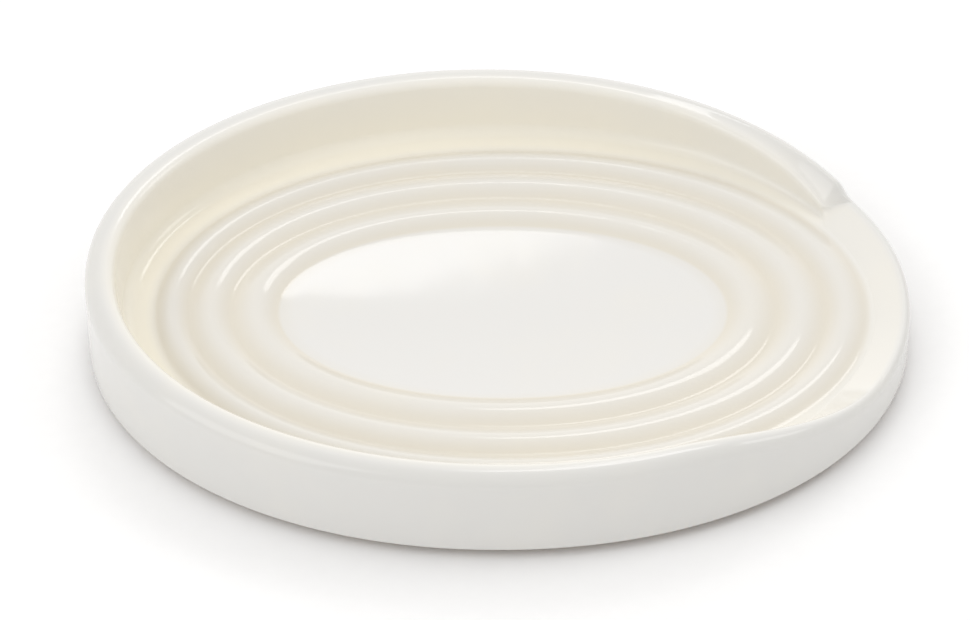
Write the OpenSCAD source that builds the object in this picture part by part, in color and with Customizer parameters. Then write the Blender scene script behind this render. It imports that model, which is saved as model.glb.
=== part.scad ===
// Oval stoneware spoon rest: a ringed dish whose wall winds round the well, tapers to
// a nose and steps down to a low lip, where the spoon's handle lies.
// Millimetres. +X runs along the length, towards the lip, +Z is up, and the origin is
// on the table under the middle of the oval.

/* [Outline] */
// Length of the oval
length = 150; // [130:1:190]
// Width of the oval
width = 111; // [98:1:140]
// Fullness of every oval: 2 is an ellipse, more is squarer
fullness = 2.05; // [1.9:0.05:2.3]

/* [Wall] */
// Height of the rim above the table
rim_h = 19.4; // [17:0.1:28]
// Width of the rim's top, from the outer face to the inner face
rim_w = 4.9; // [4:0.1:6]
// Radius of the rim's outer edge
rim_r = 2.6; // [1:0.1:3]
// Radius of the rim's inner edge
inner_r = 1.6; // [0.6:0.1:2]
// Distance from the rim's inner edge in to the wall's foot
wall_run = 3.1; // [2:0.1:4]
// Radius where the wall meets the well
fillet_r = 2.2; // [1:0.1:3]
// Radius of the outer face's lower edge
edge_r = 0.7; // [0.5:0.1:1]

/* [Nose and lip] */
// Height of the rim at the nose, where the wall ends
nose_h = 13; // [11:0.1:16]
// Width of the rim's top at the nose
nose_w = 7.2; // [5:0.1:8]
// Height of the nose's inner edge above the wall's foot
nose_rise = 1.3; // [0.8:0.1:4]
// Distance from the nose's inner edge in to its foot
nose_run = 0.6; // [0.4:0.1:1]
// Length of the nose's rounded end, along the rim
nose_len = 5; // [3:0.5:9]
// Angle of the nose around the oval, from +X
nose_at = 30; // [25:1:42]
// Angle where the rim begins to fall towards the nose
fall_at = 105; // [75:1:130]
// Height of the low lip
lip_h = 10.5; // [9.8:0.1:11.5]
// Width of the lip's top
lip_w = 2.4; // [1.8:0.1:3.4]
// Distance from the lip's inner edge in to the foot of its slope
lip_run = 7.1; // [5:0.1:7.2]
// Angle where the lip begins to rise into the front wall
rise_at = -22; // [-32:1:-12]
// Angle where the front wall reaches its full height
full_at = -66; // [-90:1:-50]

/* [Well and rings] */
// Height of the middle's edge above the table
floor_h = 7.4; // [6:0.1:8.2]
// Depth of the dished middle below its edge
flat_sag = 1.2; // [0:0.1:1.6]
// Rise of the ringed band from the middle's edge out to the wall's foot
band_rise = 0.5; // [0:0.1:1]
// Distance from the outer face in to the outermost ring, at the two ends
wall_end = 9.8; // [9:0.1:13]
// Distance from the outer face in to the outermost ring, along the sides
wall_side = 12; // [10:0.1:14]
// Offset of the well towards the lip
well_shift = 2.3; // [0:0.1:3]
// Width of the ringed band at the two ends
band_end = 24.6; // [16:0.2:34]
// Width of the ringed band along the sides
band_side = 21.1; // [14:0.1:30]
// Offset of the dished middle towards the lip
flat_shift = 0.8; // [0:0.1:3]
// Height of a ring's crest above the creases beside it
ring_rise = 1.1; // [0.6:0.05:1.6]

/* [Foot and glaze] */
// Height of the unglazed foot ring below the outer face's lower edge
foot_h = 2; // [1:0.1:2.4]
// Distance from the outer face in to the foot ring
foot_inset = 3.6; // [1.5:0.1:6]
// Width of the foot ring
foot_w = 5; // [3:0.1:8]
// Thickness of the glaze
glaze_t = 0.4; // [0.3:0.05:0.5]
// Width of the glaze that turns in under the outer face
under_w = 0.5; // [0.4:0.1:0.6]
// Bare clay between the foot ring and the glaze inside it
bare_w = 0.8; // [0.4:0.1:2]

/* [Hidden] */

// Widths of the rings from the middle outwards, as shares of the ringed band
ring_shares = [0.375, 0.339, 0.286];
// How much a ring's crest is narrowed: at 1 its curve is a half wave, above it the creases widen out
ring_power = 1.5;
// Place of a ring's crest across its width, from its inner edge
crest_share = 0.48;
// Places across a ring, from its inner edge, at which its curve is drawn, the outermost first
bead_shares = [0.85, 0.66, crest_share, 0.22];
// Places across the dished middle, from its edge, at which its curve is drawn
sag_shares = [0.25, 0.5, 0.75];
// Most that the rim's two edge radii may take of the rim's width
outer_share = 0.55;
inner_share = 0.34;
// Most that the inner edge and the fillet may take of the wall's height over the well
edge_rise_share = 0.35;
fillet_rise_share = 0.45;

// Mean distance in to the outermost ring, mean width of the ringed band, and mean half width of the middle
wall_u = (wall_end + wall_side) / 2;
band_u = (band_end + band_side) / 2;
flat_u = (length + width) / 4 - wall_u - band_u;
// Height of the wall's foot
well_h = floor_h + band_rise;
// Fall of the rim's top across its width at the nose
nose_fall = nose_h - well_h - nose_rise;
// Underside of the clay, which the foot ring stands down from
under_z = foot_h + glaze_t;
// Half of the nose's rounded end, as an angle around the oval
nose_half = nose_len / (length + width) * 360 / PI;

// Steps along a quarter turn of the three kinds of edge
edge_steps = 2;
rim_steps = 3;
fillet_steps = 3;
// Steps across the nose's end, and around the rest of the oval
nose_steps = 5;
sweep_steps = 64;

nose_angles = [for (i = [0:nose_steps]) nose_at + nose_half * (2 * i / nose_steps - 1)];
sweep_angles = [
    for (i = [1:sweep_steps - 1])
        nose_at + nose_half + (360 - 2 * nose_half) * i / sweep_steps
];
angles = concat(nose_angles, sweep_angles);
sides = len(angles);

function mix(a, b, share) = a + (b - a) * share;
function clamp(share) = max(0, min(1, share));
function ease(share) = let (s = clamp(share)) s * s * (3 - 2 * s);
// An angle brought into the range from -180 to 180
function turned(t) = t > 180 ? t - 360 : t;

// Where the lip is: 1 along the lip, 0 along the full wall
function lip_at(t) =
    t > nose_at - nose_half
        ? 1 - ease((t - nose_at + nose_half) / (2 * nose_half))
        : ease((t - full_at) / (rise_at - full_at));
// How near the nose is, along the wall that falls to it
function near_nose(t) = t > nose_at - nose_half ? pow(clamp((fall_at - t) / (fall_at - nose_at)), 2) : 0;

// Height of the rim, width of its top, fall of its top across that width, and distance on to the wall's foot
function rim_height(t) = mix(mix(rim_h, nose_h, near_nose(t)), lip_h, lip_at(t));
function rim_width(t) = mix(mix(rim_w, nose_w, near_nose(t)), lip_w, lip_at(t));
function rim_fall(t) = nose_fall * pow(near_nose(t), 3) * (1 - lip_at(t));
function foot_run(t) = mix(mix(wall_run, nose_run, near_nose(t)), lip_run, lip_at(t));

// A station of the profile: distance in from the outer face, height, and the direction
// that the surface faces, where 180 is outwards, 90 is up and 0 is inwards
function arc(center, radius, from, to, steps, side) = [
    for (i = [0:steps])
        let (a = mix(from, to, i / steps))
        [center.x + side * radius * cos(a), center.y + side * radius * sin(a), a]
];

function outer_profile(t) =
    let (
        h = rim_height(t),
        w = rim_width(t),
        top = h - rim_fall(t),
        rise = top - well_h,
        ro = min(rim_r, outer_share * w),
        ri = min(inner_r, inner_share * w, edge_rise_share * rise),
        run = foot_run(t),
        rf = min(fillet_r, fillet_rise_share * rise, run),
        edge_c = [edge_r, foot_h + edge_r],
        inner_c = [w - ri, top - ri],
        fillet_c = [w + run, well_h + rf],
        span = fillet_c - inner_c,
        draft = atan2(span.y, span.x) + acos(min(1, (ri + rf) / norm(span)))
    )
    concat(
        [[edge_r + under_w, foot_h, 270]],
        arc(edge_c, edge_r, 270, 180, edge_steps, 1),
        arc([ro, h - ro], ro, 180, 90, rim_steps, 1),
        arc(inner_c, ri, 90, draft, edge_steps, 1),
        arc(fillet_c, rf, draft, 90, fillet_steps, -1),
        [[wall_u, well_h, 90]]
    );

// Place across a ring as an angle of its half wave, and the height and the slope there
function bead_turn(f) =
    f < crest_share ? 90 * f / crest_share : 180 - 90 * (1 - f) / (1 - crest_share);
function bead_height(f) = ring_rise * pow(sin(bead_turn(f)), ring_power);
function bead_slope(f, ring_w) =
    -ring_rise * ring_power * pow(sin(bead_turn(f)), ring_power - 1) * cos(bead_turn(f)) * PI / 2
    / (f < crest_share ? crest_share : 1 - crest_share) / ring_w;
// Height of the creases between the rings, at a distance in from the outer face
function crease_height(u) = well_h - band_rise * (u - wall_u) / band_u;

// Distance from the middle's edge to a ring's inner edge, as a share of the ringed band
function ring_start(k) = k == 0 ? 0 : ring_start(k - 1) + ring_shares[k - 1];

ring_profile = [
    for (k = [len(ring_shares) - 1:-1:0])
        let (ring_w = ring_shares[k] * band_u, from_u = wall_u + band_u * (1 - ring_start(k)))
        each concat(
            [
                for (f = bead_shares)
                    let (u = from_u - f * ring_w)
                    [
                        u,
                        crease_height(u) + bead_height(f),
                        90 + atan(bead_slope(f, ring_w) - band_rise / band_u)
                    ]
            ],
            [[from_u, crease_height(from_u), 90]]
        )
];

// The dished middle, from its edge in to the point in its centre
sag_profile = [
    for (f = sag_shares)
        [
            wall_u + band_u + f * flat_u,
            floor_h - flat_sag * (1 - (1 - f) * (1 - f)),
            90 - atan(2 * flat_sag * (1 - f) / flat_u)
        ]
];

// A point of an oval at angle t
function oval_point(a, b, shift, t) = [
    shift + a * sign(cos(t)) * pow(abs(cos(t)), 2 / fullness),
    b * sign(sin(t)) * pow(abs(sin(t)), 2 / fullness)
];
function oval(inset) = [for (t = angles) oval_point(length / 2 - inset, width / 2 - inset, 0, t)];

// A station set into the dish: the ovals run from the outline to the well, on to the middle and to its centre
function placed(station, depth, t) =
    let (
        u = station[0] - depth * cos(station[2]),
        z = station[1] - depth * sin(station[2]),
        wall = clamp(u / wall_u),
        band = clamp((u - wall_u) / band_u),
        flat = clamp((u - wall_u - band_u) / flat_u),
        a = (length / 2 - wall_end * wall - band_end * band) * (1 - flat),
        b = (width / 2 - wall_side * wall - band_side * band) * (1 - flat),
        shift = well_shift * wall - (well_shift - flat_shift) * band * (2 - band),
        p = oval_point(a, b, shift, t)
    )
    [p.x, p.y, z];

profiles = [for (t = angles) concat(outer_profile(turned(t)), ring_profile, sag_profile)];
stations = len(profiles[0]);

// Closed loops of the glaze's face (depth 0) or of the clay under it, from the edge to the middle
function loops(depth, first) = [
    for (j = [first:stations - 1])
        [for (i = [0:sides - 1]) placed(profiles[i][j], depth, angles[i])]
];
function middle(depth) = [flat_shift, 0, floor_h - flat_sag - depth];
function flipped(list) = [for (i = [len(list) - 1:-1:0]) list[i]];
function joined(lists) = [for (list = lists) each list];

// Triangles of a skin: between loop after loop, counted from a first point, and from the last
// loop to the point in its middle
function skin_faces(first, count, pole) = concat(
    [
        for (j = [0:count - 2], i = [0:sides - 1])
            let (n = (i + 1) % sides, a = first + j * sides, b = a + sides)
            each [[a + i, b + i, b + n], [a + i, b + n, a + n]]
    ],
    [
        for (i = [0:sides - 1])
            let (n = (i + 1) % sides, a = first + (count - 1) * sides)
            [a + i, pole, a + n]
    ]
);

// The clay dish under its glaze, with a flat underside
module dish() {
    rows = loops(glaze_t, 1);
    count = len(rows);
    polyhedron(
        points = concat(joined(rows), [middle(glaze_t)]),
        faces = concat([[for (i = [0:sides - 1]) i]], skin_faces(0, count, count * sides)),
        convexity = 8
    );
}

// The unglazed ring that the dish stands on, rooted in the clay
module foot_ring() {
    linear_extrude(under_z + edge_r)
        difference() {
            polygon(oval(foot_inset));
            polygon(oval(foot_inset + foot_w));
        }
}

module stoneware_body() {
    color("#d9cfbf")
        union() {
            dish();
            foot_ring();
        }
}

// The glass coat over the outer face, the rim and the whole well: its inner skin is the clay's,
// turned over, and a narrow edge joins the two skins below the outer face
module glaze_coat() {
    outer = stations * sides;
    pole = 2 * outer;
    inner_faces = [for (face = skin_faces(0, stations, pole)) flipped(face)];
    edge_faces = [
        for (i = [0:sides - 1])
            let (n = (i + 1) % sides)
            each [[i, outer + i, outer + n], [i, outer + n, n]]
    ];
    color("#ece8df")
        polyhedron(
            points = concat(
                joined(loops(glaze_t, 0)),
                joined(loops(0, 0)),
                [middle(glaze_t), middle(0)]
            ),
            faces = concat(inner_faces, edge_faces, skin_faces(outer, stations, pole + 1)),
            convexity = 8
        );
}

// The glass coat under the base, inside the foot ring
module base_glaze() {
    color("#e6e1d6")
        translate([0, 0, foot_h])
            linear_extrude(glaze_t)
                polygon(oval(foot_inset + foot_w + bare_w));
}

stoneware_body();
glaze_coat();
base_glaze();
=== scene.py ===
# %% [markdown]
# # An oval spoon rest in glazed stoneware
#
# The real object is one piece of fired clay under a coat of glass. Its wall winds round a ringed well,
# tapers to a nose and steps down to a low lip, where the spoon's handle lies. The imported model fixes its
# size and its place, in metres. This script gives it round surfaces, a fired finish, a floor, lights and a
# camera.

# %% The frame
import math

import bpy
import numpy as np
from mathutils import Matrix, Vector


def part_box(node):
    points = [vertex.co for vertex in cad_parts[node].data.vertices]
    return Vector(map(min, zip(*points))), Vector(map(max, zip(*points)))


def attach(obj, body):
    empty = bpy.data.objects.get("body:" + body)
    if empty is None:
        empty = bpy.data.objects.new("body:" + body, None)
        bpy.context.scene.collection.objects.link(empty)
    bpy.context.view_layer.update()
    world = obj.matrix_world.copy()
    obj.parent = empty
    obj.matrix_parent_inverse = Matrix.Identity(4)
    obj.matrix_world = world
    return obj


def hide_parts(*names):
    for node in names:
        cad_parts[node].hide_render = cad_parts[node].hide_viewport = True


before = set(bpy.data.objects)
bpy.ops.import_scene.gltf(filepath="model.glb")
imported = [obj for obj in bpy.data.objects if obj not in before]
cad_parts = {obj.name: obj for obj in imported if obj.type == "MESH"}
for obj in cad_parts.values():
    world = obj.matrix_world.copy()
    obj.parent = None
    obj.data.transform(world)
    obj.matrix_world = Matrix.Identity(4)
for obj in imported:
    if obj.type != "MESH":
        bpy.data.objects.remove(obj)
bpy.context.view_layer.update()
MM = 0.001
scene = bpy.context.scene

# %% [markdown]
# ## The camera
#
# The photograph was taken from a long way off with a long lens, so the oval's near and far halves are
# almost alike. Blender could track the camera at the object, but a fixed tilt and a lens shift keep the two
# readings apart: the tilt is the viewing angle, and the shift only moves the picture in its frame.

# %% Camera at the photograph's angle
PHOTO_SIZE = (970, 620)
ORIGIN_PIXEL = (498.6, 340.1)
FOCAL_PIXELS = 4900
VIEW_ELEVATION = math.radians(44)
VIEW_DISTANCE = 900 * MM
SENSOR = 36

camera = bpy.data.objects.new("camera", bpy.data.cameras.new("camera"))
scene.collection.objects.link(camera)
scene.camera = camera
camera.location = (0, -VIEW_DISTANCE * math.cos(VIEW_ELEVATION), VIEW_DISTANCE * math.sin(VIEW_ELEVATION))
camera.rotation_euler = (math.pi / 2 - VIEW_ELEVATION, 0, 0)
camera.data.sensor_width = SENSOR
camera.data.lens = FOCAL_PIXELS * SENSOR / PHOTO_SIZE[0]
camera.data.shift_x = (PHOTO_SIZE[0] / 2 - ORIGIN_PIXEL[0]) / PHOTO_SIZE[0]
camera.data.shift_y = (ORIGIN_PIXEL[1] - PHOTO_SIZE[1] / 2) / PHOTO_SIZE[0]
print("lens in mm:", round(camera.data.lens, 1))

# %% [markdown]
# ## One helper for every node tree
#
# Materials and Geometry Nodes are both trees of nodes. One small function adds a node, sets its properties,
# and fills its inputs with a link or a value. An input that is given as a node takes that node's first live
# output.

# %% Adding a node
def add(tree, kind, inputs=(), **settings):
    """Adds a node to a tree. Inputs are a list in socket order, or a dict of socket name or number."""
    node = tree.nodes.new(kind)
    for name, value in settings.items():
        setattr(node, name, value)
    pairs = inputs.items() if isinstance(inputs, dict) else enumerate(inputs)
    for key, value in pairs:
        if isinstance(value, bpy.types.Node):
            value = next(socket for socket in value.outputs if socket.enabled)
        if isinstance(value, bpy.types.NodeSocket):
            tree.links.new(value, node.inputs[key])
        else:
            node.inputs[key].default_value = value
    return node


def linear(code, alpha=1.0):
    """Turns an sRGB hex code into the linear colour that shaders work in."""
    shares = [int(code[i:i + 2], 16) / 255 for i in (1, 3, 5)]
    return [s / 12.92 if s <= 0.04045 else ((s + 0.055) / 1.055) ** 2.4 for s in shares] + [alpha]


print("sRGB mid grey in linear light:", round(linear("#808080")[0], 3))

# %% [markdown]
# ## The sizes
#
# The outline, the foot and the coat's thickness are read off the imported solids. The rest repeats the part's
# own sizes in millimetres, because the curves between them aren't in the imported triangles. Angles run round
# the oval from +X, the lip's end.

# %% Sizes of the dish
coat_low, coat_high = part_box("glaze_coat")
patch_low, patch_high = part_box("base_glaze")
OUTLINE = np.array([coat_high.x - coat_low.x, coat_high.y - coat_low.y]) / 2
FOOT_HEIGHT = patch_low.z
UNDER_HEIGHT = patch_high.z
COAT = UNDER_HEIGHT - FOOT_HEIGHT

FULLNESS = 2.05
RIM_HEIGHT, RIM_WIDTH, RIM_ROUND = coat_high.z, 4.9 * MM, 2.6 * MM
NOSE_HEIGHT, NOSE_WIDTH, NOSE_RISE, NOSE_LENGTH = 13 * MM, 7.2 * MM, 1.3 * MM, 5 * MM
LIP_HEIGHT, LIP_WIDTH = 10.5 * MM, 2.4 * MM
NOSE_AT, FALL_AT, RISE_AT, FULL_AT = (math.radians(degrees) for degrees in (30, 105, -22, -66))
INNER_ROUND, FILLET_ROUND, EDGE_ROUND = 1.6 * MM, 2.2 * MM, 0.7 * MM
FLOOR_HEIGHT, FLAT_SAG, BAND_RISE = 7.4 * MM, 1.2 * MM, 0.5 * MM
WELL_HEIGHT = FLOOR_HEIGHT + BAND_RISE
WALL_RUN, NOSE_RUN, LIP_RUN = 3.1 * MM, 0.6 * MM, 7.1 * MM
WALL = np.array([9.8, 12]) * MM
BAND = np.array([24.6, 21.1]) * MM
WELL_SHIFT, FLAT_SHIFT = 2.3 * MM, 0.8 * MM
RING_RISE, CREST_SHARE, RING_SHARES = 1.1 * MM, 0.48, (0.375, 0.339, 0.286)
RING_POWER = 1.5
COAT_TURN_IN = 0.5 * MM
FOOT_INSET, FOOT_WIDTH, FOOT_ROUND, BARE_WIDTH = 3.6 * MM, 5 * MM, 0.3 * MM, 0.8 * MM
print("outline in mm:", (2 * OUTLINE / MM).round(2), "coat in mm:", round(COAT / MM, 2))

# %% [markdown]
# ## The wall, drawn unrolled
#
# The wall's cross-section changes all the way round: full at the left, falling to the nose, then a step
# down to the lip, then rising again at the front. A swept curve keeps one section, so it can't do that.
# Here each section is a row of arcs and straight runs, and the rows are laid side by side as a flat strip:
# X is the distance in from the outer face, Y the angle round the oval, Z the height. Geometry Nodes then
# wrap the strip round.

# %% Rim by angle
ANGLES_ROUND = 400
NOSE_CROWDING = 0.3
NOSE_POWER, FALL_POWER = 2, 3
walk = np.linspace(-1, 1, ANGLES_ROUND + 1)
angles = NOSE_AT + math.pi * (NOSE_CROWDING * walk + (1 - NOSE_CROWDING) * walk ** 3)
nose_half = NOSE_LENGTH / OUTLINE.sum()


def eased(share):
    """A share from 0 to 1 that starts and ends gently."""
    share = np.clip(share, 0, 1)
    return share * share * (3 - 2 * share)


past_nose = angles > NOSE_AT - nose_half
lip_by_rise = eased((angles - FULL_AT) / (RISE_AT - FULL_AT))
lip_by_nose = 1 - eased((angles - NOSE_AT + nose_half) / (2 * nose_half))
lip = np.where(past_nose, lip_by_nose, lip_by_rise)
near_nose = past_nose * np.clip((FALL_AT - angles) / (FALL_AT - NOSE_AT), 0, 1) ** NOSE_POWER

rim_height = RIM_HEIGHT + (NOSE_HEIGHT - RIM_HEIGHT) * near_nose
rim_height += (LIP_HEIGHT - rim_height) * lip
rim_width = RIM_WIDTH + (NOSE_WIDTH - RIM_WIDTH) * near_nose
rim_width += (LIP_WIDTH - rim_width) * lip
rim_fall = (NOSE_HEIGHT - WELL_HEIGHT - NOSE_RISE) * near_nose ** FALL_POWER * (1 - lip)
wall_run = WALL_RUN + (NOSE_RUN - WALL_RUN) * near_nose
wall_run += (LIP_RUN - wall_run) * lip
wall_foot = rim_width + wall_run
print("rim height in mm:", (rim_height.min() / MM).round(2), "to", (rim_height.max() / MM).round(2))

# %% Arcs and straight runs
DOWN, OUT, UP, IN = (math.radians(degrees) for degrees in (270, 180, 90, 0))
EVERYWHERE = np.ones_like(angles)


def arc(inset, height, radius, start, end, steps, side=1):
    """Rows of (inset, height, facing) along an arc. Facing is 180 degrees outwards, 90 up and 0 inwards."""
    rows = []
    for share in np.linspace(0, 1, steps + 1):
        facing = (start + (end - start) * share) * EVERYWHERE
        rows.append([inset + side * radius * np.cos(facing), height + side * radius * np.sin(facing), facing])
    return np.array(rows)


def run(before, after, steps):
    """Rows of a straight run between two rows, without its two ends."""
    return np.array([before + (after - before) * i / steps for i in range(1, steps)])


print("points in one row:", len(EVERYWHERE))

# %% Rows of the wall
OUTER_SHARE, INNER_SHARE, EDGE_RISE_SHARE, FILLET_RISE_SHARE = 0.55, 0.34, 0.35, 0.45
EDGE_STEPS, RIM_STEPS, INNER_STEPS, FILLET_STEPS = 6, 10, 8, 10
FACE_STEPS, TOP_STEPS, SLOPE_STEPS, GUTTER_STEPS = 6, 4, 6, 4
WALL_INSET, BAND_INSET = WALL.mean(), BAND.mean()


def wall_rows():
    """Rows from the glaze's edge under the dish, up the outer face, over the rim and down to the floor."""
    inner_top = rim_height - rim_fall
    rise = inner_top - WELL_HEIGHT
    outer_r = np.minimum(RIM_ROUND, OUTER_SHARE * rim_width)
    inner_r = np.minimum(np.minimum(INNER_ROUND, INNER_SHARE * rim_width), EDGE_RISE_SHARE * rise)
    fillet_r = np.minimum(np.minimum(FILLET_ROUND, FILLET_RISE_SHARE * rise), wall_run)
    inner_u, inner_z = rim_width - inner_r, inner_top - inner_r
    fillet_z = WELL_HEIGHT + fillet_r
    reach, drop = wall_foot - inner_u, fillet_z - inner_z
    draft = np.arctan2(drop, reach) + np.arccos(np.minimum(1, (inner_r + fillet_r) / np.hypot(reach, drop)))

    turn_in = np.array([[EDGE_ROUND + COAT_TURN_IN, FOOT_HEIGHT, DOWN]])[:, :, None] * EVERYWHERE
    edge = arc(EDGE_ROUND, FOOT_HEIGHT + EDGE_ROUND, EDGE_ROUND, DOWN, OUT, EDGE_STEPS)
    rim = arc(outer_r, rim_height - outer_r, outer_r, OUT, UP, RIM_STEPS)
    inner = arc(inner_u, inner_z, inner_r, UP, draft, INNER_STEPS)
    fillet = arc(wall_foot, fillet_z, fillet_r, draft, UP, FILLET_STEPS, side=-1)
    groove = np.array([[WALL_INSET, WELL_HEIGHT, UP]])[:, :, None] * EVERYWHERE
    return np.concatenate([
        turn_in, edge, run(edge[-1], rim[0], FACE_STEPS), rim, run(rim[-1], inner[0], TOP_STEPS), inner,
        run(inner[-1], fillet[0], SLOPE_STEPS), fillet, run(fillet[-1], groove[0], GUTTER_STEPS), groove,
    ])


wall = wall_rows()
print("wall rows:", len(wall))

# %% Rows of the well
ROWS_PER_RING = 14
ROWS_ON_FLAT = 16
flat_inset = (OUTLINE - WALL - BAND).mean()
ring_edges = WALL_INSET + BAND_INSET * (1 - np.cumsum((0,) + RING_SHARES))
stops = [np.linspace(ring_edges[k + 1], ring_edges[k], ROWS_PER_RING + 1)[1:] for k in (2, 1, 0)]
stops.append(WALL_INSET + BAND_INSET + np.linspace(0, flat_inset, ROWS_ON_FLAT + 1)[1:])
stops = np.concatenate(stops)
on_band = np.clip((stops - WALL_INSET) / BAND_INSET, 0, 1)
on_flat = np.clip((stops - WALL_INSET - BAND_INSET) / flat_inset, 0, 1)
levels = FLOOR_HEIGHT + BAND_RISE * (1 - on_band) - FLAT_SAG * (1 - (1 - on_flat) ** 2)
well = np.stack([stops, levels, np.full_like(stops, UP)], axis=1)[:, :, None] * EVERYWHERE
skin = np.concatenate([wall, well])
print("rows in all:", len(skin), "faces of one skin:", (len(skin) - 1) * ANGLES_ROUND)


def sunk(rows, depth):
    """The same rows, moved in under the surface by a depth."""
    moved = rows.copy()
    moved[:, 0] -= depth * np.cos(rows[:, 2])
    moved[:, 1] -= depth * np.sin(rows[:, 2])
    return moved


# %% [markdown]
# ## Where the glaze pools, and where shade and light are painted
#
# Molten glaze runs down and gathers, creamy down the inner wall. The tones also stand in for light: the outer
# face takes a darker grey as painted shade, the inner wall a lighter cream as painted light, and the rings a
# buff tone, partly the glaze's tint and partly painted shade, darkest in the creases between them. The
# strip knows which row is which, so it carries each of these as a number from 0 to 1 on every point, for
# the material to read. Painting by hand would do the same, but numbers move with the sizes.

# %% Where the rings are
WALL_BLEND_BEFORE, WALL_BLEND = 1.4 * MM, 2.4 * MM
MIDDLE_BLEND_BEFORE, MIDDLE_BLEND = 0.8 * MM, 1.2 * MM


def bead_share(inset):
    """Height of the rings' surface as a share of a crest's height, by distance in from the outer face."""
    place = 1 - np.clip((inset - WALL_INSET) / BAND_INSET, 0, 1)
    total = np.zeros_like(place)
    start = 0
    for share in RING_SHARES:
        across = np.clip((place - start) / share, 0, 1)
        turn = np.clip(across / CREST_SHARE, 0, 1) + np.clip((across - CREST_SHARE) / (1 - CREST_SHARE), 0, 1)
        total += np.abs(np.sin(turn * math.pi / 2)) ** RING_POWER
        start += share
    return total


def past_wall(rows):
    """0 on the wall, 1 from the first ring in."""
    return eased((rows[:, 0] - WALL_INSET + WALL_BLEND_BEFORE) / WALL_BLEND)


def on_rings(rows):
    """1 on the rings, 0 on the wall and on the dished middle."""
    to_middle = eased((rows[:, 0] - WALL_INSET - BAND_INSET + MIDDLE_BLEND_BEFORE) / MIDDLE_BLEND)
    return past_wall(rows) * (1 - to_middle)


print("rows on the rings:", int((on_rings(skin)[:, 0] > 0).sum()))

# %% Glaze tones, with painted shade and painted light
# The outer face takes the darker outside tone as painted shade, fading to the inside tone over the rim.
SHADE_FADE_FROM_SHARE, SHADE_FADE_OVER_SHARE = 0.25, 0.6
# The cream down the inner wall is the pooled glaze's hue and painted light.
CREAM_AND_LIGHT_FROM_SHARE, CREAM_AND_LIGHT_OVER_SHARE, LEAST_CREAM_AND_LIGHT_SHARE = 0.4, 1.0, 0.15
# Crests take less of the buff tone than the creases, where the darkening is painted shade.
CREST_LIGHTER_SHARE = 0.6


def outer_painted_shade_fade(rows):
    """From 0 on the outer face, which takes a darker tone as painted shade, to 1 inside the rim."""
    return eased((rows[:, 0] / rim_width - SHADE_FADE_FROM_SHARE) / SHADE_FADE_OVER_SHARE)


def buff_and_crease_shade_share(rows):
    """The rings' darker buff tone: partly the glaze's tint, and painted shade that is darkest in the creases
    between them.
    """
    return on_rings(rows) * (1 - CREST_LIGHTER_SHARE * bead_share(rows[:, 0]))


def cream_and_painted_light_share(rows):
    """A lighter cream tone down the inner wall, less where the wall is low: the hue of pooled glaze, and
    painted light that brightens the wall.
    """
    wall_share = (rim_height - WELL_HEIGHT) / (RIM_HEIGHT - WELL_HEIGHT)
    inside = eased((rows[:, 0] / rim_width - CREAM_AND_LIGHT_FROM_SHARE) / CREAM_AND_LIGHT_OVER_SHARE)
    return (LEAST_CREAM_AND_LIGHT_SHARE + (1 - LEAST_CREAM_AND_LIGHT_SHARE) * wall_share) * inside * (1 - past_wall(rows))


for share_of in (outer_painted_shade_fade, buff_and_crease_shade_share, cream_and_painted_light_share):
    print(share_of.__name__, "on average:", round(float(share_of(skin).mean()), 2))

# %% A strip as a mesh
def strip(name, rows, even, coat=0.0, buff=0.0, cream=0.0):
    """A mesh strip of rows. Even marks the rows that follow the outline at an even distance.

    The rows of a closed piece run from its middle below to its middle above, so its faces point outwards.
    """
    count, across = len(rows), len(angles)
    turns = np.broadcast_to(angles, (count, across))
    points = np.stack([rows[:, 0], turns, rows[:, 1]], axis=-1).reshape(-1, 3)
    first = (np.arange(count - 1)[:, None] * across + np.arange(across - 1)).ravel()
    faces = np.stack([first, first + 1, first + across + 1, first + across], axis=-1)
    mesh = bpy.data.meshes.new(name)
    mesh.from_pydata(points, [], faces)
    # Coat, buff and cream steer the glaze tones: painted shade on the outer face and in the ring creases,
    # painted light down the inner wall.
    for label, values in (("even", even[:, None]), ("coat", coat), ("buff", buff), ("cream", cream)):
        layer = mesh.attributes.new(label, "FLOAT", "POINT")
        layer.data.foreach_set("value", np.broadcast_to(values, (count, across)).astype(np.float32).ravel())
    piece = bpy.data.objects.new(name, mesh)
    scene.collection.objects.link(piece)
    print(name, "unrolled, rows:", count, "points in a row:", across)
    return piece


# %% [markdown]
# ## Wrapping the strip round the oval
#
# Every oval of this dish is a superellipse, from the outline in to the dished middle. The tree reads a
# point's distance in, picks the oval for it, raises the rings as soft waves, and puts the point on the oval
# at its angle. The same could be written in Python, but as a tree each size is an input that can be dragged
# and watched.

# %% The tree's inputs
tree = bpy.data.node_groups.new("wrap_round_oval", "GeometryNodeTree")
sizes = {
    "Outline": (*OUTLINE, 0), "Wall": (*WALL, 0), "Band": (*BAND, 0), "Flat": (*(OUTLINE - WALL - BAND), 0),
    "Wall Inset": WALL_INSET, "Band Inset": BAND_INSET, "Flat Inset": flat_inset,
    "Fullness": FULLNESS, "Well Shift": WELL_SHIFT, "Flat Shift": FLAT_SHIFT,
    "Ring Rise": RING_RISE, "Crest Share": CREST_SHARE, "Ring Power": RING_POWER,
    **{f"Ring {k + 1} Share": share for k, share in enumerate(RING_SHARES)},
}
tree.interface.new_socket("Geometry", in_out="INPUT", socket_type="NodeSocketGeometry")
for label, value in sizes.items():
    kind = "NodeSocketVector" if isinstance(value, tuple) else "NodeSocketFloat"
    tree.interface.new_socket(label, in_out="INPUT", socket_type=kind)
tree.interface.new_socket("Material", in_out="INPUT", socket_type="NodeSocketMaterial")
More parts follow.
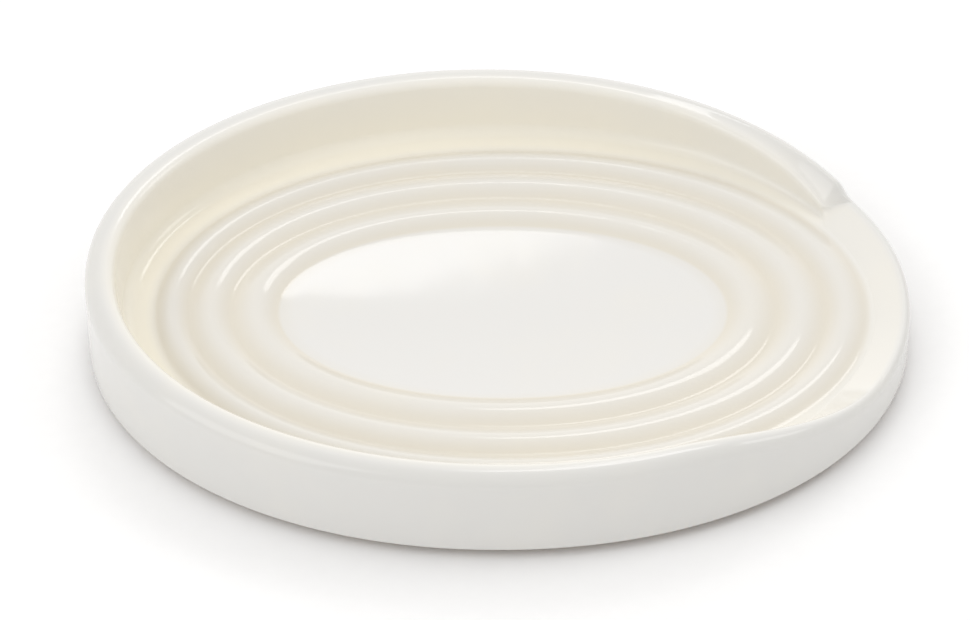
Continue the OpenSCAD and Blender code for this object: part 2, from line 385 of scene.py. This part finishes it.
tree.interface.new_socket("Geometry", in_out="OUTPUT", socket_type="NodeSocketGeometry")
given = add(tree, "NodeGroupInput").outputs
print("inputs of the tree:", len(sizes))

# %% The rings
place = add(tree, "ShaderNodeSeparateXYZ", [add(tree, "GeometryNodeInputPosition")]).outputs
inset, angle, height = place["X"], place["Y"], place["Z"]
band_end = add(tree, "ShaderNodeMath", [given["Wall Inset"], given["Band Inset"]], operation="ADD")
flat_end = add(tree, "ShaderNodeMath", [band_end, given["Flat Inset"]], operation="ADD")
wall_share = add(tree, "ShaderNodeMapRange", [inset, 0.0, given["Wall Inset"], 0.0, 1.0])
band_share = add(tree, "ShaderNodeMapRange", [inset, given["Wall Inset"], band_end, 0.0, 1.0])
flat_share = add(tree, "ShaderNodeMapRange", [inset, band_end, flat_end, 0.0, 1.0])

from_flat = add(tree, "ShaderNodeMath", [1.0, band_share], operation="SUBTRACT")
start, rings = 0.0, 0.0
for k in range(len(RING_SHARES)):
    end = add(tree, "ShaderNodeMath", [start, given[f"Ring {k + 1} Share"]], operation="ADD")
    across = add(tree, "ShaderNodeMapRange", [from_flat, start, end, 0.0, 1.0])
    rising = add(tree, "ShaderNodeMapRange", [across, 0.0, given["Crest Share"], 0.0, math.pi / 2])
    falling = add(tree, "ShaderNodeMapRange", [across, given["Crest Share"], 1.0, 0.0, math.pi / 2])
    turn = add(tree, "ShaderNodeMath", [rising, falling], operation="ADD")
    wave = add(tree, "ShaderNodeMath", [turn], operation="SINE")
    wave = add(tree, "ShaderNodeMath", [wave], operation="ABSOLUTE")
    wave = add(tree, "ShaderNodeMath", [wave, given["Ring Power"]], operation="POWER")
    rings = add(tree, "ShaderNodeMath", [wave, rings], operation="ADD")
    start = end
print("nodes up to the rings:", len(tree.nodes))

# %% The ovals
even = add(tree, "GeometryNodeInputNamedAttribute", ["even"], data_type="FLOAT")
uneven = add(tree, "ShaderNodeMath", [1.0, even], operation="SUBTRACT")
axes = given["Outline"]
for label, share in (("Wall", wall_share), ("Band", band_share), ("Flat", flat_share)):
    cut = add(tree, "ShaderNodeVectorMath", {0: given[label], "Scale": share}, operation="SCALE")
    axes = add(tree, "ShaderNodeVectorMath", [axes, cut], operation="SUBTRACT")
level = add(tree, "ShaderNodeCombineXYZ", [inset, inset, 0.0])
even_axes = add(tree, "ShaderNodeVectorMath", [given["Outline"], level], operation="SUBTRACT")
even_axes = add(tree, "ShaderNodeVectorMath", [even_axes, (0, 0, 0)], operation="MAXIMUM")
axes = add(tree, "ShaderNodeMix", {0: even, 4: axes, 5: even_axes}, data_type="VECTOR")

cosine = add(tree, "ShaderNodeMath", [angle], operation="COSINE")
sine = add(tree, "ShaderNodeMath", [angle], operation="SINE")
turned = add(tree, "ShaderNodeCombineXYZ", [cosine, sine, 0.0])
exponent = add(tree, "ShaderNodeMath", [2.0, given["Fullness"]], operation="DIVIDE")
exponents = add(tree, "ShaderNodeCombineXYZ", [exponent, exponent, exponent])
size = add(tree, "ShaderNodeVectorMath", [turned], operation="ABSOLUTE")
size = add(tree, "ShaderNodeVectorMath", [size, exponents], operation="POWER")
sign = add(tree, "ShaderNodeVectorMath", [turned], operation="SIGN")
unit = add(tree, "ShaderNodeVectorMath", [size, sign], operation="MULTIPLY")
on_oval = add(tree, "ShaderNodeVectorMath", [unit, axes], operation="MULTIPLY")
print("nodes up to the ovals:", len(tree.nodes))

# %% Putting each point in place
MERGE_DISTANCE = 0.002 * MM
shift_back = add(tree, "ShaderNodeMath", [given["Flat Shift"], given["Well Shift"]], operation="SUBTRACT")
outer_share = add(tree, "ShaderNodeMath", [from_flat, from_flat], operation="MULTIPLY")
gone = add(tree, "ShaderNodeMath", [1.0, outer_share], operation="SUBTRACT")
shift = add(tree, "ShaderNodeMath", [given["Well Shift"], wall_share], operation="MULTIPLY")
shift = add(tree, "ShaderNodeMath", [shift_back, gone, shift], operation="MULTIPLY_ADD")
shift = add(tree, "ShaderNodeMath", [shift, uneven], operation="MULTIPLY")
lift = add(tree, "ShaderNodeMath", [given["Ring Rise"], rings], operation="MULTIPLY")
lift = add(tree, "ShaderNodeMath", [lift, uneven, height], operation="MULTIPLY_ADD")
moved = add(tree, "ShaderNodeCombineXYZ", [shift, 0.0, lift])
moved = add(tree, "ShaderNodeVectorMath", [on_oval, moved], operation="ADD")

shape = add(tree, "GeometryNodeSetPosition", {"Geometry": given["Geometry"], "Position": moved})
shape = add(tree, "GeometryNodeMergeByDistance", {"Geometry": shape, "Distance": MERGE_DISTANCE})
shape = add(tree, "GeometryNodeSetShadeSmooth", {"Geometry": shape})
shape = add(tree, "GeometryNodeRealizeInstances", {"Geometry": shape})
shape = add(tree, "GeometryNodeSetMaterial", {"Geometry": shape, "Material": given["Material"]})
add(tree, "NodeGroupOutput", [shape])
print("nodes in the tree:", len(tree.nodes))

# %% Wrapping one strip
identifiers = {item.name: item.identifier for item in tree.interface.items_tree if item.in_out == "INPUT"}
print("sockets that a modifier can set:", len(identifiers))


def wrapped(piece, material):
    """Wraps a strip round the oval and keeps the result as a plain mesh."""
    modifier = piece.modifiers.new("wrap", "NODES")
    modifier.node_group = tree
    for label, value in sizes.items():
        modifier[identifiers[label]] = value
    modifier[identifiers["Material"]] = material
    bpy.context.view_layer.update()
    evaluated = piece.evaluated_get(bpy.context.evaluated_depsgraph_get())
    mesh = bpy.data.meshes.new_from_object(evaluated)
    piece.modifiers.clear()
    piece.data = mesh
    mesh.name = piece.name
    print(piece.name, "faces:", len(mesh.polygons), "points:", len(mesh.vertices))
    return piece


# %% [markdown]
# ## The glaze: an opaque white fired glass
#
# Stoneware of this kind is dipped in a white glaze and fired glossy. It reflects like window glass, with an
# index of refraction of about 1.5, over an off-white: creamy where the glaze pools, with painted shade on
# the outer face and in the ring creases, and painted light down the inner wall. Its surface is never quite
# flat: slow waves from the dip bend reflections, and a fine orange peel breaks them. A flat colour would
# look like plastic, so the three numbers on the points and a slow noise steer it.

# %% An empty material
def new_material(name):
    """A material with no nodes yet, and its tree."""
    material = bpy.data.materials.new(name)
    material.use_nodes = True
    material.node_tree.nodes.clear()
    print("material:", name)
    return material, material.node_tree


def scale_for(size):
    """The scale at which a noise's blobs are about that size in metres."""
    return 1 / size


# %% Glaze material
# The outside tone is darker as painted shade on the outer face. The buff tone is partly tint and partly
# painted shade in the ring creases. The cream is the pooled glaze's hue, and lighter as painted light on the
# inner wall.
GLAZE_OUTSIDE_PAINTED_SHADE, GLAZE_INSIDE = linear("#dad9d6"), linear("#e4e3e1")
GLAZE_BUFF_AND_CREASE_SHADE, GLAZE_CREAM_AND_PAINTED_LIGHT = linear("#e0dacd"), linear("#f6f1e3")
# Fired glass gives the eye sharp, white reflections over a soft tone.
GLAZE_ROUGHNESS, GLAZE_IOR = 0.08, 1.5
CLOUD_SIZE, UNEVENNESS = 14 * MM, 0.24
WAVE_SIZE, WAVE_DEPTH = 9 * MM, 0.022 * MM
# The bumps of an orange peel are about a millimetre across, and under a micrometre deep.
PEEL_SIZE, PEEL_DEPTH = 0.9 * MM, 0.0005 * MM


def glaze_material(name):
    """White glaze with painted shade on the outer face and in the ring creases, and a cream down the inner
    wall that is pooled glaze and painted light.
    """
    material, nodes = new_material(name)
    where = add(nodes, "ShaderNodeTexCoord").outputs["Object"]
    cloud = add(nodes, "ShaderNodeTexNoise", {"Vector": where, "Scale": scale_for(CLOUD_SIZE), "Detail": 2})
    uneven = add(nodes, "ShaderNodeMath", [cloud, UNEVENNESS, -UNEVENNESS / 2], operation="MULTIPLY_ADD")
    # The coat number mixes in the darker outside tone: painted shade on the outer face.
    coat = add(nodes, "ShaderNodeAttribute", attribute_name="coat").outputs["Fac"]
    colour = add(nodes, "ShaderNodeMix", {0: coat, 6: GLAZE_OUTSIDE_PAINTED_SHADE, 7: GLAZE_INSIDE}, data_type="RGBA")
    # Buff darkens the rings, most in the creases, partly as painted shade; cream is pooled glaze and painted
    # light.
    for label, tone in (("buff", GLAZE_BUFF_AND_CREASE_SHADE), ("cream", GLAZE_CREAM_AND_PAINTED_LIGHT)):
        share = add(nodes, "ShaderNodeAttribute", attribute_name=label).outputs["Fac"]
        share = add(nodes, "ShaderNodeMath", [share, uneven], operation="ADD", use_clamp=True)
        colour = add(nodes, "ShaderNodeMix", {0: share, 6: colour.outputs[2], 7: tone}, data_type="RGBA")
    waves = add(nodes, "ShaderNodeTexNoise", {"Vector": where, "Scale": scale_for(WAVE_SIZE), "Detail": 1})
    peel = add(nodes, "ShaderNodeTexNoise", {"Vector": where, "Scale": scale_for(PEEL_SIZE), "Detail": 1})
    bump = None
    for height, depth in ((waves, WAVE_DEPTH), (peel, PEEL_DEPTH)):
        inputs = {"Height": height, "Strength": 1.0, "Distance": depth}
        if bump:
            inputs["Normal"] = bump
        bump = add(nodes, "ShaderNodeBump", inputs, invert=True)
    shader = add(nodes, "ShaderNodeBsdfPrincipled", {
        "Base Color": colour.outputs[2], "Roughness": GLAZE_ROUGHNESS, "IOR": GLAZE_IOR, "Normal": bump,
    })
    add(nodes, "ShaderNodeOutputMaterial", [shader])
    return material


# %% [markdown]
# ## The clay: bare fired stoneware
#
# The foot ring is wiped clean before firing, so that it doesn't stick to the kiln shelf. What shows is buff
# clay with fine grit, ground dull on the ring: rough, with no clear reflections. One flat brown would do
# from far off, but two noises at the sizes of the mottle and the grit hold up when the dish is turned over.

# %% Clay material
CLAY_LIGHT, CLAY_DARK = linear("#b5a48c"), linear("#94826b")
# Bare clay scatters light, so it gives the eye a dull, even buff.
CLAY_ROUGHNESS = 0.8
MOTTLE_SIZE = 6 * MM
# Real grit is finer than this: it is drawn coarse so that it shows.
GRIT_SIZE, GRIT_DEPTH = 0.5 * MM, 0.05 * MM
DARKEST_SHARE, LIGHTEST_SHARE = 0.12, 0.42


def clay_material(name):
    """Buff clay with sandy grit."""
    material, nodes = new_material(name)
    where = add(nodes, "ShaderNodeTexCoord").outputs["Object"]
    mottle = add(nodes, "ShaderNodeTexNoise", {"Vector": where, "Scale": scale_for(MOTTLE_SIZE), "Detail": 4})
    grit = add(nodes, "ShaderNodeTexNoise", {"Vector": where, "Scale": scale_for(GRIT_SIZE), "Detail": 3})
    tone = add(nodes, "ShaderNodeMath", [mottle, grit], operation="MULTIPLY")
    tone = add(nodes, "ShaderNodeMapRange", [tone, DARKEST_SHARE, LIGHTEST_SHARE, 0.0, 1.0])
    colour = add(nodes, "ShaderNodeMix", {0: tone, 6: CLAY_DARK, 7: CLAY_LIGHT}, data_type="RGBA")
    bump = add(nodes, "ShaderNodeBump", {"Height": grit, "Strength": 1.0, "Distance": GRIT_DEPTH}, invert=True)
    shader = add(nodes, "ShaderNodeBsdfPrincipled", {
        "Base Color": colour, "Roughness": CLAY_ROUGHNESS, "Normal": bump,
    })
    add(nodes, "ShaderNodeOutputMaterial", [shader])
    return material


# %% [markdown]
# ## The three pieces
#
# The coat is a closed shell: its strip runs out along the clay from the middle, turns at the edge under the
# dish, and runs back over the surface. A Solidify modifier could thicken one surface instead, but here the
# clay takes the coat's underside as its own face, so the two fit exactly. The clay's strip closes below with
# the foot ring. The patch of glaze under the base is a thin slab with a round edge.

# %% The glaze coat
def both_sides(values):
    """Values for the coat's rows: those of its underside, from the middle out, then those of its face."""
    return np.concatenate([values[::-1], values])


coat_rows = np.concatenate([sunk(skin, COAT)[::-1], skin])
nowhere_even = np.zeros(len(coat_rows))
glaze = wrapped(
    strip(
        "dish_glaze", coat_rows, nowhere_even,
        both_sides(outer_painted_shade_fade(skin)), both_sides(buff_and_crease_shade_share(skin)), both_sides(cream_and_painted_light_share(skin)),
    ),
    glaze_material("cream_white_glaze"),
)

# %% The clay body
def rows_at(*pairs):
    """Rows of (inset, height, facing) that are the same all round, from pairs of inset and height."""
    return np.array([[u * EVERYWHERE, z * EVERYWHERE, 0 * EVERYWHERE] for u, z in pairs])


CENTRE = OUTLINE[0]
FOOT_STEPS = 4
foot_inner = FOOT_INSET + FOOT_WIDTH
foot = np.concatenate([
    rows_at((CENTRE, UNDER_HEIGHT), (foot_inner, UNDER_HEIGHT)),
    arc(foot_inner - FOOT_ROUND, FOOT_ROUND, FOOT_ROUND, IN, -UP, FOOT_STEPS),
    arc(FOOT_INSET + FOOT_ROUND, FOOT_ROUND, FOOT_ROUND, DOWN, OUT, FOOT_STEPS),
    rows_at((FOOT_INSET, UNDER_HEIGHT)),
])
clay_skin = sunk(skin, COAT)[1:]
clay_rows = np.concatenate([foot, clay_skin])
clay_even = np.concatenate([np.ones(len(foot)), np.zeros(len(clay_skin))])
clay = wrapped(
    strip("stoneware_clay", clay_rows, clay_even),
    clay_material("bare_buff_stoneware"),
)

# %% The glaze under the base
PATCH_STEPS, PATCH_CREAM_SHARE = 5, 0.3
patch_inset = foot_inner + BARE_WIDTH
patch_rows = np.concatenate([
    rows_at((CENTRE, FOOT_HEIGHT)),
    arc(patch_inset + COAT, UNDER_HEIGHT, COAT, DOWN, OUT, PATCH_STEPS),
    rows_at((CENTRE, UNDER_HEIGHT)),
])
patch = wrapped(
    strip("base_patch_glaze", patch_rows, np.ones(len(patch_rows)), cream=PATCH_CREAM_SHARE),
    glaze_material("cream_white_base_glaze"),
)

# %% Riding on the frame
for piece, node, slot in (
    (glaze, "glaze_coat", "cream_glaze"),
    (clay, "stoneware_body", "bare_stoneware"),
    (patch, "base_glaze", "base_cream_glaze"),
):
    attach(piece, "root")
    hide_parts(node)
    print(piece.name, "stands for", node)

# %% [markdown]
# ## Floor and light
#
# The photograph is a high-key studio shot: a white sweep, a soft white surround that is brighter behind
# than in front and brightest at the backdrop, and three softboxes. Lamps alone would leave a glossy dish
# black between their reflections, so the surround does most of the work. The softbox above and behind is
# mirrored on the far side of the dished middle. Those at the left and the right draw the bright lines along
# the nose, the rings and the wall.

# %% Floor
FLOOR_WIDTH = 6.0
PAPER_DARK, PAPER_LIGHT = linear("#fbfbfc"), linear("#fefeff")
# Paper is matt: it takes a soft shadow and no reflection.
PAPER_ROUGHNESS, FIBRE_SIZE = 0.9, 3 * MM
bpy.ops.mesh.primitive_plane_add(size=FLOOR_WIDTH)
floor = bpy.context.object
floor.name = "studio_floor"
paper, nodes = new_material("white_paper_sweep")
where = add(nodes, "ShaderNodeTexCoord").outputs["Object"]
fibre = add(nodes, "ShaderNodeTexNoise", {"Vector": where, "Scale": scale_for(FIBRE_SIZE), "Detail": 2})
tint = add(nodes, "ShaderNodeMix", {0: fibre, 6: PAPER_DARK, 7: PAPER_LIGHT}, data_type="RGBA")
shader = add(nodes, "ShaderNodeBsdfPrincipled", {"Base Color": tint, "Roughness": PAPER_ROUGHNESS})
add(nodes, "ShaderNodeOutputMaterial", [shader])
floor.data.materials.append(paper)
print("floor width in m:", FLOOR_WIDTH)

# %% The white surround
SKY_COLOUR = linear("#fffefc")
SKY_FRONT, SKY_REAR = 0.765, 1.0
BACKDROP, BACKDROP_FROM = 0.48, 0.74
scene.view_settings.view_transform = "Standard"
world = bpy.data.worlds.new("white_studio")
scene.world = world
world.use_nodes = True
sky = world.node_tree
sky.nodes.clear()
direction = add(sky, "ShaderNodeTexCoord").outputs["Generated"]
rearward = add(sky, "ShaderNodeSeparateXYZ", [direction]).outputs["Y"]
glow = add(sky, "ShaderNodeMapRange", [rearward, -1.0, 1.0, SKY_FRONT, SKY_REAR])
backdrop = add(sky, "ShaderNodeMapRange", [rearward, BACKDROP_FROM, 1.0, 0.0, BACKDROP])
glow = add(sky, "ShaderNodeMath", [glow, backdrop], operation="ADD")
add(sky, "ShaderNodeOutputWorld", [add(sky, "ShaderNodeBackground", [SKY_COLOUR, glow])])
print("surround from", SKY_FRONT, "in front to", SKY_REAR + BACKDROP, "behind")

# %% Softboxes
def softbox(name, azimuth, elevation, distance, width, height, radiance):
    """A lamp that faces the dish. Azimuth is in degrees from straight behind, and positive to the right."""
    azimuth, elevation = math.radians(azimuth), math.radians(elevation)
    level = math.cos(elevation)
    place = Vector((math.sin(azimuth) * level, math.cos(azimuth) * level, math.sin(elevation))) * distance
    lamp = bpy.data.lights.new(name, "AREA")
    lamp.shape = "RECTANGLE"
    lamp.size, lamp.size_y = width, height
    lamp.energy = radiance * math.pi * width * height
    holder = bpy.data.objects.new(name, lamp)
    scene.collection.objects.link(holder)
    holder.location = place
    holder.rotation_euler = (-place).to_track_quat("-Z", "Y").to_euler()
    holder.visible_camera = False
    print(name, "in watts:", round(lamp.energy, 1))
    return holder


softbox("rear_softbox", azimuth=13.9, elevation=52.9, distance=4.0, width=1.23, height=0.88, radiance=3.0)
softbox("left_softbox", azimuth=-122, elevation=40, distance=1.5, width=1.1, height=1.0, radiance=1.25)
softbox("right_softbox", azimuth=75, elevation=42, distance=1.5, width=0.5, height=0.5, radiance=1.9)
